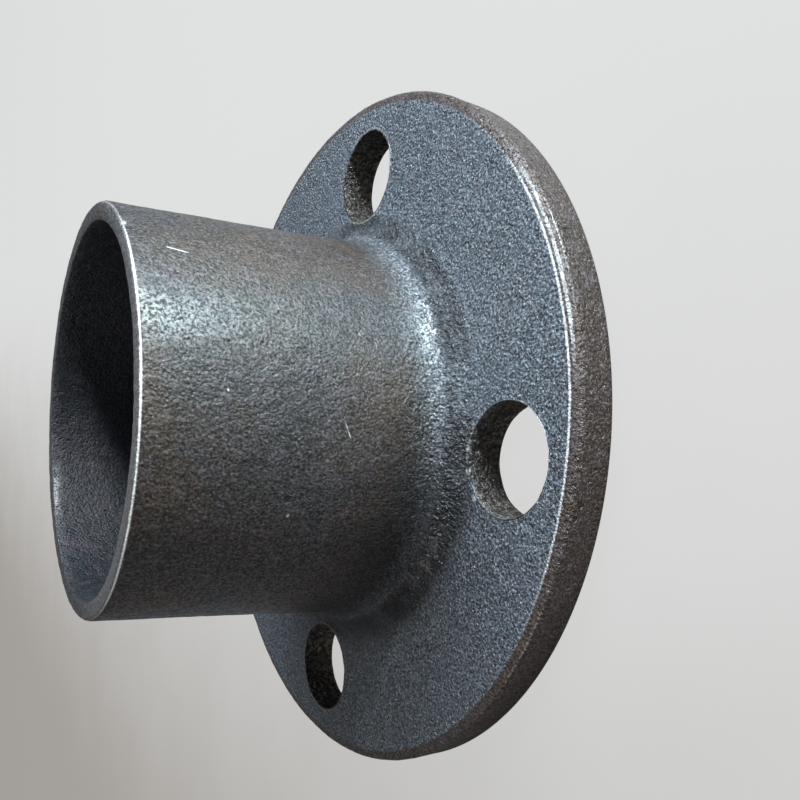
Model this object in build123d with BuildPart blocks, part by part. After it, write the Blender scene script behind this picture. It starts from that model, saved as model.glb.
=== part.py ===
"""Round cast iron base flange for a tube: a drilled plate with a plain tapered hub."""
from build123d import *
import math
import os

# Driving dimensions, millimetres unless said otherwise.
tube_diameter = 76.1
tube_clearance = 0.9            # play on the diameter, so the tube slides in
hub_wall_at_mouth = 3.7
hub_height = 69.0               # seating face to mouth
hub_draft = 3.1                 # degrees, the hub widens toward the plate
flange_diameter = 161.0         # across the seating edge
rim_draft = 1.0                 # degrees, the rim narrows away from the seat
rim_bevel_width = 2.4           # shallow worn bevel round the plate's front
rim_bevel_drop = 0.5
plate_thickness = 8.2
bolt_diameter = 20.0
bolt_clearance = 2.0            # on the diameter
rim_land = 7.0                  # plate left outside each bolt hole
bolt_count = 4
root_fillet = 8.5               # hub into plate
rim_front_break = 0.6
mouth_outer_round = 0.8
plain_edge_break = 0.4          # bore ends and the seat's rim, dressed flat
bolt_edge_break = 0.5

# Sizes that follow from them.
bore_radius = (tube_diameter + tube_clearance) / 2
mouth_radius = bore_radius + hub_wall_at_mouth
hub_flare = (hub_height - plate_thickness) * math.tan(math.radians(hub_draft))
hub_foot_radius = mouth_radius + hub_flare
flange_radius = flange_diameter / 2
rim_height = plate_thickness - rim_bevel_drop
rim_top_radius = flange_radius - rim_height * math.tan(math.radians(rim_draft))
bolt_hole_radius = (bolt_diameter + bolt_clearance) / 2
bolt_circle_radius = flange_radius - rim_land - bolt_hole_radius

with BuildPart() as base_flange:
    # Half section, turned about the tube's axis.
    with BuildSketch(Plane.XZ):
        with BuildLine():
            Polyline(
                (bore_radius, 0),
                (flange_radius, 0),
                (rim_top_radius, rim_height),
                (rim_top_radius - rim_bevel_width, plate_thickness),
                (hub_foot_radius, plate_thickness),
                (mouth_radius, hub_height),
                (bore_radius, hub_height),
                close=True,
            )
        make_face()
    revolve(axis=Axis.Z)

    def ring(radius, height):
        """The circular edge nearest to a radius and height."""
        rings = base_flange.edges().filter_by(GeomType.CIRCLE)
        return min(
            rings,
            key=lambda edge: math.hypot(edge.radius - radius, edge.arc_center.Z - height),
        )

    # Cast radii: a wide one at the hub's foot, a small worn one round the mouth.
    fillet(ring(hub_foot_radius, plate_thickness), radius=root_fillet)
    fillet(ring(mouth_radius, hub_height), radius=mouth_outer_round)
    chamfer(ring(rim_top_radius, rim_height), length=rim_front_break)
    for plain_radius, height in ((flange_radius, 0), (bore_radius, 0), (bore_radius, hub_height)):
        chamfer(ring(plain_radius, height), length=plain_edge_break)

    # Plain bolt holes with both edges broken. Each one's hub side just bites into the
    # root fillet.
    with PolarLocations(bolt_circle_radius, bolt_count):
        Cylinder(
            bolt_hole_radius,
            plate_thickness + root_fillet,
            align=(Align.CENTER, Align.CENTER, Align.MIN),
            mode=Mode.SUBTRACT,
        )
    broken_radius = bolt_hole_radius + bolt_edge_break
    for height, radius_below, radius_above in (
        (0, broken_radius, bolt_hole_radius),
        (plate_thickness - bolt_edge_break, bolt_hole_radius, broken_radius),
    ):
        with Locations((0, 0, height)):
            with PolarLocations(bolt_circle_radius, bolt_count):
                Cone(
                    radius_below,
                    radius_above,
                    bolt_edge_break,
                    align=(Align.CENTER, Align.CENTER, Align.MIN),
                    mode=Mode.SUBTRACT,
                )

base_flange.part.label = "base_flange"
os.makedirs("parts", exist_ok=True)
export_step(base_flange.part, "parts/base_flange.step")
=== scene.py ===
import math
import random

import bmesh
import bpy
from mathutils import Matrix, Vector, noise


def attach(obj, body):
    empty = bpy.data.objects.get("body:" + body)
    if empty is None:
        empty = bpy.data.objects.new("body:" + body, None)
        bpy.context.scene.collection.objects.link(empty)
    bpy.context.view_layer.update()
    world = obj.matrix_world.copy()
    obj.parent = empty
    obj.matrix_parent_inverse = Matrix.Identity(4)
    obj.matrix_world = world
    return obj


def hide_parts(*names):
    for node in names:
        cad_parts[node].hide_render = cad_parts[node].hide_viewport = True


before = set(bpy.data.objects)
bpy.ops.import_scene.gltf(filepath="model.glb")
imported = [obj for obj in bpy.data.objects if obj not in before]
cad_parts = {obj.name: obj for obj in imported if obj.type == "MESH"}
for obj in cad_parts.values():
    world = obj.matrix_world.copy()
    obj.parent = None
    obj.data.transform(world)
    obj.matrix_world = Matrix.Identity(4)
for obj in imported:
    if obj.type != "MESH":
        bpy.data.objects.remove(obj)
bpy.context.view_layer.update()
scene = bpy.context.scene
mm = 0.001
metreInMm = 1000

# Camera: the photographed viewing angle, nearly level with the flange held on its side.
camera = {
    "right": (0.587723, 0.098719, -0.803017),
    "up": (-0.136399, 0.990411, 0.021927),
    "back": (0.797482, 0.096644, 0.595552),
    "place": (0.165903, 0.010289, 0.100487),
    "lens": 33.2623,
    "shift": (-0.0500, 0.0875),
    "sensor": 36,
    "clip": (0.01, 20),
}
camRight, camUp, camBack = (Vector(camera[k]) for k in ("right", "up", "back"))
camData = bpy.data.cameras.new("photoCamera")
camData.sensor_width = camera["sensor"]
camData.lens = camera["lens"]
camData.shift_x, camData.shift_y = camera["shift"]
camData.clip_start, camData.clip_end = camera["clip"]
camObject = bpy.data.objects.new("photoCamera", camData)
scene.collection.objects.link(camObject)
turn = Matrix((camRight, camUp, camBack)).transposed().to_4x4()
camObject.matrix_world = Matrix.Translation(camera["place"]) @ turn
scene.camera = camObject
print("camera done")


def newMaterial(name):
    material = bpy.data.materials.new(name)
    material.use_nodes = True
    nodes, links = material.node_tree.nodes, material.node_tree.links
    shader = nodes["Principled BSDF"]
    return material, nodes, links, shader


class Maths:
    # Short spelling for chains of maths nodes.
    def __init__(self, nodes, links):
        self.nodes, self.links = nodes, links

    def plug(self, socket, value):
        if isinstance(value, (int, float, tuple)):
            socket.default_value = value
        else:
            self.links.new(value, socket)

    def op(self, kind, a, b=0.0, clamp=False):
        node = self.nodes.new("ShaderNodeMath")
        node.operation = kind
        node.use_clamp = clamp
        self.plug(node.inputs[0], a)
        self.plug(node.inputs[1], b)
        return node.outputs[0]

    def ramp(self, value, low, high, outLow=0.0, outHigh=1.0):
        node = self.nodes.new("ShaderNodeMapRange")
        node.interpolation_type = "SMOOTHSTEP"
        self.plug(node.inputs["Value"], value)
        self.plug(node.inputs["From Min"], low)
        self.plug(node.inputs["From Max"], high)
        self.plug(node.inputs["To Min"], outLow)
        self.plug(node.inputs["To Max"], outHigh)
        return node.outputs["Result"]

    def mix(self, factor, a, b):
        node = self.nodes.new("ShaderNodeMix")
        node.data_type = "RGBA"
        self.plug(node.inputs["Factor"], factor)
        self.plug(node.inputs["A"], a)
        self.plug(node.inputs["B"], b)
        return node.outputs["Result"]

    def noise(self, coords, scale, detail=2.0, rough=0.5, distort=0.0):
        node = self.nodes.new("ShaderNodeTexNoise")
        self.links.new(coords, node.inputs["Vector"])
        node.inputs["Scale"].default_value = scale
        node.inputs["Detail"].default_value = detail
        node.inputs["Roughness"].default_value = rough
        node.inputs["Distortion"].default_value = distort
        return node.outputs["Fac"]

    def times(self, first, *rest):
        for value in rest:
            first = self.op("MULTIPLY", first, value)
        return first

    def most(self, first, *rest):
        for value in rest:
            first = self.op("MAXIMUM", first, value)
        return first

    def without(self, value, share=1.0):
        # One, less a share of the value.
        return self.op("SUBTRACT", 1.0, self.times(value, share))

    def vector(self, kind, a, b):
        node = self.nodes.new("ShaderNodeVectorMath")
        node.operation = kind
        self.plug(node.inputs[0], a)
        self.plug(node.inputs[1], b)
        return node.outputs["Vector" if kind == "SUBTRACT" else "Value"]

    def cells(self, coords, scale):
        node = self.nodes.new("ShaderNodeTexVoronoi")
        self.links.new(coords, node.inputs["Vector"])
        node.inputs["Scale"].default_value = scale
        return node.outputs["Distance"]


# Cast iron: blue-grey skin, browner on the rim and in the bolt holes, bright where edges are worn
# and at painted edge highlights, with painted shade in the bore, the root fillet and the hub's
# foot.
iron = {
    "cool": (0.100, 0.124, 0.152, 1),
    "hub": (0.038, 0.037, 0.039, 1),
    "warm": (0.062, 0.043, 0.032, 1),
    "purple": (0.098, 0.074, 0.096, 1),
    "rim": (0.054, 0.033, 0.025, 1),
    "holeWall": (0.50, 0.43, 0.35, 1),
    "crevice": (0.016, 0.016, 0.017, 1),
    # Painted shade: the bore's inside darker.
    "boreShade": (0.030, 0.036, 0.044, 1),
    # Worn metal, also the colour of the painted edge highlights.
    "wornAndGlint": (0.70, 0.71, 0.71, 1),
    "speck": (0.34, 0.37, 0.40, 1),
    "metallic": 0.35,
    "hubRoughness": 0.14,
    "specular": 0.5,
    "sheen": 0.65,
    "sheenRoughness": 0.30,
    "bump": 1.0,
    "hubBumpLoss": 0.35,
    "bumpDistance": 0.0006,
    "holeCircle": 62.5,
    # Noises: (scale per metre, detail, roughness, distortion). Cells: scale per metre.
    "grain": (1850, 3, 0.7),
    "lumps": (520, 3, 0.6),
    "patches": (38, 3, 0.6, 0.3),
    "stains": (110, 4, 0.6, 0.4),
    "tint": (260, 2, 0.6),
    "shot": (1000, 2, 0.6),
    "filletBreaks": (90, 2, 0.5),
    "speckBreaks": (330, 2, 0.5),
    "lineBreaks": (90, 3, 0.6),
    "speckCells": 1050,
    "pitCells": 700,
    "beadCells": 1700,
    # Ramps over noise: (start, full), then the two values there unless they are 0 and 1.
    "filletPatches": (0.3, 0.6, 0.45, 1.0),
    "warmPatches": (0.35, 0.62),
    "stainShade": (0.5, 0.75, 0, 0.3),
    "purpleTint": (0.5, 0.7, 0, 0.4),
    "darkGrain": (0.51, 0.42, 0, 0.9),
    "lightGrain": (0.54, 0.63, 0, 0.7),
    # Dark coarse sand, in the root fillet also painted shade.
    "coarseDarkAndShade": (0.58, 0.46, 0.72, 0.98),
    "speckDots": (0.40, 0.24),
    "speckPatches": (0.38, 0.55),
    "linePatches": (0.40, 0.6),
    "lineGrain": (0.38, 0.52, 0.4, 1.0),
    "filmGrain": (0.44, 0.52),
    "lumpRoughness": (0.35, 0.65, 0.23, 0.40),
    "pitDepth": (0.05, 0.35),
    # Ramps over distance: the same, with start and full in mm.
    "filletRadius": (55.0, 51.0),
    "filletHeight": (12.0, 10.2),
    "holeEdge": (11.4, 11.1),
    "holeInside": (11.3, 11.1),
    "boreInside": (38.9, 38.6),
    "hubHeight": (10, 22),
    "rimRadius": (78.0, 78.4),
    "speckHeight": (8.5, 13.0, 0.4, 0.95),
    # The hub's foot: painted shade on its lower side.
    "footHeight": (36, 14),
    "footRadius": (58, 50),
    "footSide": (12, -12, 0, 0.65),
    "faceHeight": (7.2, 7.8),
    "mouthRadius": (41.8, 42.05),
    "mouthHeight": (68.45, 68.7),
    # Painted highlight: the mouth's corner and face brighter toward +x.
    "mouthSide": (18, 34, 0.2, 1.0),
    "mouthFaceHeight": (68.5, 68.9, 0, 0.08),
    "mouthFaceSide": (0, 30),
    # Painted edge highlights: the rim lines kept to the lit side.
    "innerSide": (50, 62),
    "innerRise": (-40, 10),
    "outerHeight": (6.2, 6.8),
    "outerSide": (40, 50),
    "outerLow": (12, 26),
    "outerTop": (60, 50),
    # Bright edge lines, painted highlights at the rim and a bright line at the hole edges:
    # (distance, half width, strength), in mm. The core is their full share.
    "innerLine": (77.95, 0.36, 0.85),
    "outerLine": (79.1, 0.5, 0.7),
    "holeLine": (11.3, 0.35, 0.2),
    "lineCore": 0.35,
    # How strongly each mask acts.
    "warmEverywhere": 0.15,
    "warmHub": 0.8,
    "calmShare": 0.25,
    "bareShare": 0.78,
    "pitShade": 0.85,
    "chipShine": 0.45,
    "scratchShine": 0.7,
    "filmLoss": 0.8,
    # Shares of the layers in the bump.
    "grainHeight": 0.6,
    "lumpHeight": 0.8,
    "pitHeight": 0.2,
    "beadHeight": -0.3,
    "shotHeight": 2.4,
    "markHeight": -0.9,
    # Marks in mm: (x, y, z, size) for pits and chips, start and end for scratches.
    "pits": [
        (16.9, 39.3, 58.3, 1.1),
        (18.8, 38.7, 53.9, 0.8),
        (68.8, 41.8, 5.2, 0.9),
        (42.2, -11.0, 42.2, 0.9),
        (42.5, 11.0, 37.7, 1.0),
        (80.3, -5.4, 6.0, 0.8),
        (80.1, -8.1, 6.5, 0.7),
        (38.9, 18.8, 50.3, 0.6),
        (40.5, 16.4, 41.2, 0.8),
    ],
    "chips": [
        (22.8, 35.6, 68.6, 0.9),
        (42.2, 8.0, 54.7, 0.4),
        (42.1, 13.1, 32.9, 0.4),
        (41.4, -14.0, 41.4, 0.5),
        (51.7, 1.0, 8.4, 1.0),
        (51.8, -3.8, 8.3, 0.8),
        (54.4, -8.8, 8.2, 0.8),
    ],
    "scratches": [
        ((28.0, 32.0, 62.6), (28.9, 31.5, 58.5)),
        ((43.9, 4.1, 32.6), (44.2, 0.8, 31.1)),
    ],
    "ragged": 1.6,
    "markCore": 0.5,
    "scratchWidth": 0.22,
    "scratchCore": 0.4,
    "scratchFades": (0.5, 1.0),
}


def makeIron(spec):
    material, nodes, links, shader = newMaterial("castIron")
    m = Maths(nodes, links)
    coords = nodes.new("ShaderNodeTexCoord").outputs["Object"]
    split = nodes.new("ShaderNodeSeparateXYZ")
    links.new(coords, split.inputs[0])
    x, y, z = split.outputs

    def hypot(a, b):
        return m.op("SQRT", m.op("ADD", m.times(a, a), m.times(b, b)))

    def over(value, name):
        return m.ramp(value, *spec[name])

    def near(distance, name):
        start, full, *ends = spec[name]
        return m.ramp(distance, start * mm, full * mm, *ends)

    def noiseOver(noiseName, rampName):
        return over(m.noise(coords, *spec[noiseName]), rampName)

    radius = hypot(x, y)
    across = m.op("SUBTRACT", m.op("ABSOLUTE", x), spec["holeCircle"] * mm)
    along = m.op("SUBTRACT", m.op("ABSOLUTE", y), spec["holeCircle"] * mm)
    holeRadius = m.op("MINIMUM", hypot(across, y), hypot(x, along))

    grain = m.noise(coords, *spec["grain"])
    lumps = m.noise(coords, *spec["lumps"])
    shot = m.noise(coords, *spec["shot"])
    fillet = m.times(near(radius, "filletRadius"), near(z, "filletHeight"))
    fillet = m.times(fillet, noiseOver("filletBreaks", "filletPatches"))
    coarse = m.most(fillet, near(holeRadius, "holeEdge"))
    inBore = near(radius, "boreInside")
    onHub = near(z, "hubHeight")
    onRim = near(radius, "rimRadius")
    raised = m.most(onHub, onRim)

    # Pores are dark and grain tops are light, both calmer on the hub and the rim.
    warmHub = m.op("ADD", spec["warmEverywhere"], m.times(onHub, spec["warmHub"]))
    warmth = m.times(noiseOver("patches", "warmPatches"), warmHub)
    specks = over(m.cells(coords, spec["speckCells"]), "speckDots")
    specks = m.times(specks, noiseOver("speckBreaks", "speckPatches"), near(z, "speckHeight"))
    poresAndRootShade = m.times(over(grain, "darkGrain"), m.without(raised, spec["calmShare"]))
    # Coarse sand is dark in the root fillet and the hole walls; in the fillet this darkening is
    # also painted shade at the hub's root.
    poresAndRootShade = m.most(poresAndRootShade, specks, m.times(over(shot, "coarseDarkAndShade"), coarse))
    light = m.times(over(grain, "lightGrain"), m.without(m.most(raised, coarse), spec["bareShare"]))
    light = m.times(light, m.without(inBore))

    # Single marks, their outlines broken by the lumps.
    ragged = m.times(m.op("SUBTRACT", lumps, 0.5), spec["ragged"] * mm)

    def spot(mark):
        *place, size = mark
        gap = m.vector("DISTANCE", coords, tuple(v * mm for v in place))
        return m.ramp(m.op("ADD", gap, ragged), size * mm, size * spec["markCore"] * mm)

    def scratch(ends):
        start, end = ends
        run = Vector(end) - Vector(start)
        offset = m.vector("SUBTRACT", coords, tuple(v * mm for v in start))
        onward = m.vector("DOT_PRODUCT", offset, tuple(run.normalized()))
        square = m.vector("DOT_PRODUCT", offset, offset)
        aside = m.op("SQRT", m.op("SUBTRACT", square, m.times(onward, onward), clamp=True))
        width = spec["scratchWidth"] * mm
        fadeIn, fadeOut = spec["scratchFades"]
        return m.times(
            m.ramp(aside, width, width * spec["scratchCore"]),
            m.ramp(onward, 0, fadeIn * mm),
            m.ramp(onward, run.length * mm, (run.length - fadeOut) * mm),
        )

    pitted = m.most(*map(spot, spec["pits"]))
    chips = m.times(m.most(*map(spot, spec["chips"])), spec["chipShine"])
    scratches = m.times(m.most(*map(scratch, spec["scratches"])), spec["scratchShine"])

    # Painted shade darkens the hub's foot on its lower side.
    footShade = m.times(near(z, "footHeight"), near(radius, "footRadius"), near(y, "footSide"))
    footShade = m.times(footShade, m.without(inBore))

    # Worn metal and painted highlights: the mouth's outer corner, worn and with a painted highlight
    # toward +x; two thin lines at the rim's front, painted edge highlights on the lit side only; a
    # thin bright line at the hole edges.
    def brightEdgeLine(distance, name):
        place, width, strength = spec[name]
        away = m.op("ABSOLUTE", m.op("SUBTRACT", distance, place * mm))
        return m.ramp(away, width * mm, width * spec["lineCore"] * mm, 0, strength)

    high = near(z, "faceHeight")
    # The mouth's corner is worn metal, brighter toward +x as a painted highlight; its face is
    # faintly lighter toward +x, a painted highlight.
    mouth = m.times(near(radius, "mouthRadius"), near(z, "mouthHeight"), near(x, "mouthSide"))
    mouthFace = m.times(near(z, "mouthFaceHeight"), near(x, "mouthFaceSide"))
    # The rim's two lines are painted edge highlights, kept to the lit side by x and y.
    innerLine = m.times(brightEdgeLine(radius, "innerLine"), high)
    innerLine = m.times(innerLine, near(x, "innerSide"), near(y, "innerRise"))
    outerLine = m.times(brightEdgeLine(radius, "outerLine"), near(z, "outerHeight"))
    outerLine = m.times(outerLine, near(x, "outerSide"), near(y, "outerLow"), near(y, "outerTop"))
    holeLine = m.times(brightEdgeLine(holeRadius, "holeLine"), high)
    broken = m.times(m.most(outerLine, holeLine), noiseOver("lineBreaks", "linePatches"))
    lines = m.times(m.most(innerLine, broken), over(grain, "lineGrain"))
    wearAndGlints = m.most(mouth, mouthFace, lines, chips, scratches)

    # Colours, each laid over the ones before it.
    layers = [
        ("warm", warmth),
        ("crevice", noiseOver("stains", "stainShade")),
        ("rim", onRim),
        ("holeWall", near(holeRadius, "holeInside")),
        # Painted shade inside the bore.
        ("boreShade", inBore),
        ("purple", noiseOver("tint", "purpleTint")),
        ("crevice", poresAndRootShade),
        ("speck", light),
        ("crevice", footShade),
        ("crevice", m.times(pitted, spec["pitShade"])),
        ("wornAndGlint", wearAndGlints),
    ]
    colour = m.mix(onHub, spec["cool"], spec["hub"])
    for name, amount in layers:
        colour = m.mix(amount, colour, spec[name])
    links.new(colour, shader.inputs["Base Color"])

    rough = m.op("ADD", over(lumps, "lumpRoughness"), m.times(onHub, spec["hubRoughness"]))
    links.new(rough, shader.inputs["Roughness"])
    m.plug(shader.inputs["Metallic"], m.times(m.without(wearAndGlints), spec["metallic"]))
    shader.inputs["Specular IOR Level"].default_value = spec["specular"]

    # An oily film smooths over the grain but not over its pits.
    film = m.times(over(grain, "filmGrain"), m.without(coarse, spec["filmLoss"]))
    film = m.times(film, m.without(specks), spec["sheen"])
    links.new(film, shader.inputs["Coat Weight"])
    shader.inputs["Coat Roughness"].default_value = spec["sheenRoughness"]

    # Sand grain, coarser in the root fillet and the hole walls.
    heights = [
        ("grainHeight", grain),
        ("lumpHeight", lumps),
        ("pitHeight", over(m.cells(coords, spec["pitCells"]), "pitDepth")),
        ("beadHeight", m.cells(coords, spec["beadCells"])),
        ("shotHeight", m.times(shot, coarse)),
        ("markHeight", pitted),
    ]
    height = 0.0
    for name, amount in heights:
        height = m.op("ADD", height, m.times(amount, spec[name]))
    bump = nodes.new("ShaderNodeBump")
    strength = m.op("SUBTRACT", spec["bump"], m.times(onHub, spec["hubBumpLoss"]))
    links.new(strength, bump.inputs["Strength"])
    bump.inputs["Distance"].default_value = spec["bumpDistance"]
    links.new(height, bump.inputs["Height"])
    links.new(bump.outputs[0], shader.inputs["Normal"])
    return material


castIron = makeIron(iron)
print("material done")

# The casting: each corner of the half section is (radius, height, rounding, arc steps).
flange = {
    "corners": [
        (38.5, 0.0, 0.4, 2),
        (80.5, 0.0, 0.4, 2),
        (80.366, 7.7, 0.9, 4),
        (77.966, 8.2, 0.6, 2),
        (45.493, 8.2, 8.5, 12),
        (42.2, 69.0, 0.8, 4),
        (38.5, 69.0, 0.4, 2),
    ],
    "spacing": [3.0, 1.2, 0.8, 1.0, 1.0, 1.2, 2.0],
    "turns": 520,
    "holeCircle": 62.5,
    "holeRadii": [11.05, 10.65, 10.95, 10.7],
    "holeSides": 96,
    "holeRough": 0.14,
    "seed": 11,
    "seedReach": 50,
    # Hole cutters, in mm: rows from the bottom up, flared at the seat and at the face.
    "cutterRows": 16,
    "cutterBottom": -2.0,
    "cutterHeight": 20.0,
    "flares": [(0.0, 0.5), (8.2, 0.55)],
    "flareShare": 0.6,
    # Wall noise: (scale around, scale up, share). The face edge is chipped on the hub's side.
    "wallNoise": [(3, 0.35, 1.0), (11, 1.1, 0.6)],
    "chipsAbove": 6,
    "chipScale": 17,
    "chipFloor": 0.05,
    "chipShare": 2.6,
    # Unevenness of the skin in mm, more in the root fillet: (radius, height) and its reach.
    "waviness": 0.10,
    "waveScale": 0.07,
    "relief": 0.07,
    "reliefNoise": [(0.45, 1.0), (1.1, 0.6)],
    "root": (48, 12),
    "rootReach": (7, 10),
    "rootShare": 2.2,
    "seatMargin": 0.3,
    "seatFade": 1.5,
    "sharpAngle": 38,
}


def roundedSection(corners, spacing):
    # Rounds every corner of a closed outline and divides its straight runs.
    runs = []
    count = len(corners)
    for i, (cx, cz, rounding, steps) in enumerate(corners):
        here = Vector((cx, cz))
        before = (Vector(corners[i - 1][:2]) - here).normalized()
        after = (Vector(corners[(i + 1) % count][:2]) - here).normalized()
        half = before.angle(after) / 2
        reach = rounding / math.tan(half)
        centre = here + (before + after).normalized() * (rounding / math.sin(half))
        start, end = here + before * reach - centre, here + after * reach - centre
        sweep = start.angle_signed(end)
        arc = []
        for k in range(steps + 1):
            a = -sweep * k / steps
            cos, sin = math.cos(a), math.sin(a)
            turned = Vector((start.x * cos - start.y * sin, start.x * sin + start.y * cos))
            arc.append(centre + turned)
        runs.append(arc)
    points = []
    for i, arc in enumerate(runs):
        points.extend(arc)
        target = runs[(i + 1) % count][0]
        gap = (target - arc[-1]).length
        pieces = max(1, round(gap / spacing[i]))
        points.extend(arc[-1].lerp(target, k / pieces) for k in range(1, pieces))
    return points


def makeFlange(spec):
    section = roundedSection(spec["corners"], spec["spacing"])
    mesh = bmesh.new()
    verts = [mesh.verts.new((p.x * mm, 0, p.y * mm)) for p in section]
    edges = [mesh.edges.new((verts[i - 1], verts[i])) for i in range(len(verts))]
    bmesh.ops.spin(
        mesh,
        geom=verts + edges,
        cent=(0, 0, 0),
        axis=(0, 0, 1),
        angle=math.tau,
        steps=spec["turns"],
        use_merge=True,
    )
    bmesh.ops.remove_doubles(mesh, verts=mesh.verts, dist=1e-7)
    bmesh.ops.recalc_face_normals(mesh, faces=mesh.faces)
    data = bpy.data.meshes.new("castFlange")
    mesh.to_mesh(data)
    mesh.free()
    body = bpy.data.objects.new("castFlange", data)
    scene.collection.objects.link(body)

    # Cored bolt holes, their walls and edges slightly out of true.
    rng = random.Random(spec["seed"])
    reach = spec["seedReach"]
    rows = spec["cutterRows"]
    cutter = bmesh.new()
    for quarter in range(4):
        angle = quarter * math.pi / 2
        centre = Vector((math.cos(angle), math.sin(angle), 0)) * spec["holeCircle"]
        inward = -centre.normalized()
        shift = Vector((rng.uniform(0, reach), rng.uniform(0, reach), 0))
        rings = []
        for row in range(rows + 1):
            height = spec["cutterBottom"] + spec["cutterHeight"] * row / rows
            flare = sum(max(0, wide - abs(height - level)) for level, wide in spec["flares"])
            ring = []
            for side in range(spec["holeSides"]):
                a = math.tau * side / spec["holeSides"]
                way = Vector((math.cos(a), math.sin(a), 0))
                rough = 0.0
                for around, up, share in spec["wallNoise"]:
                    spot = (way * around + shift) + Vector((0, 0, height * up))
                    rough += share * noise.noise(spot)
                if height > spec["chipsAbove"]:
                    chip = noise.noise(way * spec["chipScale"] + shift) - spec["chipFloor"]
                    hubSide = max(0.0, way.dot(inward)) ** 2
                    rough += spec["chipShare"] * hubSide * max(0.0, chip)
                r = spec["holeRadii"][quarter] + rough * spec["holeRough"]
                r += flare * spec["flareShare"]
                p = centre + way * r
                ring.append(cutter.verts.new((p.x * mm, p.y * mm, height * mm)))
            rings.append(ring)
        for low, top in zip(rings, rings[1:]):
            for i in range(len(low)):
                cutter.faces.new((low[i - 1], low[i], top[i], top[i - 1]))
        cutter.faces.new(list(reversed(rings[0])))
        cutter.faces.new(rings[-1])
    bmesh.ops.recalc_face_normals(cutter, faces=cutter.faces)
    cutData = bpy.data.meshes.new("holeCutter")
    cutter.to_mesh(cutData)
    cutter.free()
    cutObject = bpy.data.objects.new("holeCutter", cutData)
    scene.collection.objects.link(cutObject)
    boolean = body.modifiers.new("boltHoles", "BOOLEAN")
    boolean.operation = "DIFFERENCE"
    boolean.solver = "EXACT"
    boolean.object = cutObject
    bpy.context.view_layer.update()
    graph = bpy.context.evaluated_depsgraph_get()
    cut = bpy.data.meshes.new_from_object(body.evaluated_get(graph))
    body.modifiers.clear()
    body.data = cut
    cut.name = "castFlange"
    bpy.data.objects.remove(cutObject)

    # Sand-cast unevenness along the surface normal. The seat stays flat.
    rootRadius, rootHeight = spec["root"]
    reachOut, reachUp = spec["rootReach"]
    normals = [v.normal.copy() for v in cut.vertices]
    for v, normal in zip(cut.vertices, normals):
        p = v.co * metreInMm
        if p.z < spec["seatMargin"]:
            continue
        wave = noise.noise(p * spec["waveScale"]) * spec["waviness"]
        relief = sum(share * noise.noise(p * scale) for scale, share in spec["reliefNoise"])
        root = max(0.0, 1 - abs(p.xy.length - rootRadius) / reachOut)
        root *= max(0.0, 1 - abs(p.z - rootHeight) / reachUp)
        relief *= spec["relief"] * (1 + spec["rootShare"] * root)
        fade = min(1.0, (p.z - spec["seatMargin"]) / spec["seatFade"])
        v.co += normal * ((wave + relief) * fade * mm)
    cut.shade_smooth()
    cut.set_sharp_from_angle(angle=math.radians(spec["sharpAngle"]))
    return body


castFlange = makeFlange(flange)
castFlange.data.materials.clear()
castFlange.data.materials.append(castIron)
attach(castFlange, "root")
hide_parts("base_flange")
print("flange done", len(castFlange.data.polygons), "faces")

# Floor: pale and nearly shadowless to the camera, as an even wall behind the part.
floor = {
    "size": 6.0,
    "bright": (0.775, 0.785, 0.780, 1),
    "shade": (0.395, 0.370, 0.345, 1),
    "diffuse": (0.20, 0.195, 0.19, 1),
    "roughness": 0.9,
    "glow": 0.92,
    # The shade falls across y in metres, its edge moved by a mottle.
    "shadeSide": (-0.24, 0.12),
    "mottle": (16, 5, 0.6),
    "mottleReach": 0.05,
}


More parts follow.
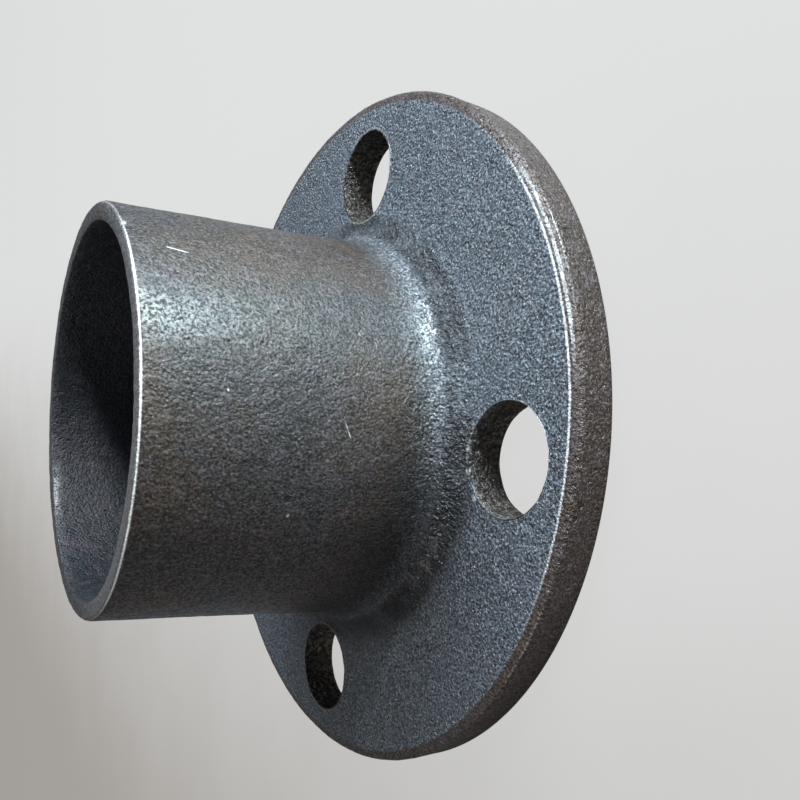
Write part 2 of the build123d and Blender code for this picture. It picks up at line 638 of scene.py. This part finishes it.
def makeFloor(spec):
    mesh = bmesh.new()
    bmesh.ops.create_grid(mesh, x_segments=1, y_segments=1, size=spec["size"] / 2)
    data = bpy.data.meshes.new("paleFloor")
    mesh.to_mesh(data)
    mesh.free()
    plane = bpy.data.objects.new("paleFloor", data)
    scene.collection.objects.link(plane)
    material, nodes, links, shader = newMaterial("paleFloor")
    m = Maths(nodes, links)
    shader.inputs["Base Color"].default_value = spec["diffuse"]
    shader.inputs["Roughness"].default_value = spec["roughness"]
    glow = nodes.new("ShaderNodeEmission")
    coords = nodes.new("ShaderNodeTexCoord").outputs["Object"]
    split = nodes.new("ShaderNodeSeparateXYZ")
    links.new(coords, split.inputs[0])
    mottle = m.times(m.noise(coords, *spec["mottle"]), spec["mottleReach"])
    side = m.ramp(m.op("ADD", split.outputs["Y"], mottle), *spec["shadeSide"])
    seen = m.mix(side, spec["shade"], spec["bright"])
    links.new(seen, glow.inputs["Color"])
    path = nodes.new("ShaderNodeLightPath")
    blend = nodes.new("ShaderNodeMixShader")
    m.plug(blend.inputs[0], m.times(path.outputs["Is Camera Ray"], spec["glow"]))
    links.new(shader.outputs[0], blend.inputs[1])
    links.new(glow.outputs[0], blend.inputs[2])
    links.new(blend.outputs[0], nodes["Material Output"].inputs["Surface"])
    plane.data.materials.append(material)
    plane.visible_shadow = False
    return plane


makeFloor(floor)
print("floor done")

# Lights, placed from their target by the camera's own right, up and back directions:
# (right, up, back, size, watts, colour).
lights = {
    "key": (0.130, 0.240, 0.178, 0.12, 1.5, (0.74, 0.96, 1.0)),
    "root": (0.055, 0.385, 0.285, 0.07, 2.3, (0.98, 0.98, 1.0)),
    "face": (-0.46, 0.48, 0.25, 0.42, 7.8, (0.78, 0.90, 1.0)),
    "right": (0.42, 0.05, 0.34, 0.30, 0.85, (1.0, 0.93, 0.86)),
    "low": (-0.34, -0.36, 0.26, 0.16, 0.7, (1.0, 0.95, 0.90)),
}
target = Vector((0, 0, 0.03))
for name, (right, up, back, size, watts, colour) in lights.items():
    data = bpy.data.lights.new(name + "Light", "AREA")
    data.shape = "DISK"
    data.size = size
    data.energy = watts
    data.color = colour
    lamp = bpy.data.objects.new(name + "Light", data)
    scene.collection.objects.link(lamp)
    place = target + camRight * right + camUp * up + camBack * back
    lamp.location = place
    lamp.rotation_mode = "QUATERNION"
    lamp.rotation_quaternion = (target - place).to_track_quat("-Z", "Y")

# Sky: faint on the part, the floor's pale tone to the camera.
studio = {"sky": (0.80, 0.84, 0.90, 1), "strength": 0.16}
world = bpy.data.worlds.new("studio")
scene.world = world
world.use_nodes = True
skyNodes, skyLinks = world.node_tree.nodes, world.node_tree.links
sky = skyNodes["Background"]
sky.inputs["Color"].default_value = studio["sky"]
sky.inputs["Strength"].default_value = studio["strength"]
seenSky = skyNodes.new("ShaderNodeBackground")
seenSky.inputs["Color"].default_value = floor["bright"]
skyPath = skyNodes.new("ShaderNodeLightPath")
skyMix = skyNodes.new("ShaderNodeMixShader")
skyLinks.new(skyPath.outputs["Is Camera Ray"], skyMix.inputs[0])
skyLinks.new(sky.outputs[0], skyMix.inputs[1])
skyLinks.new(seenSky.outputs[0], skyMix.inputs[2])
skyLinks.new(skyMix.outputs[0], skyNodes["World Output"].inputs["Surface"])
scene.view_settings.view_transform = "Standard"
print("lights done")
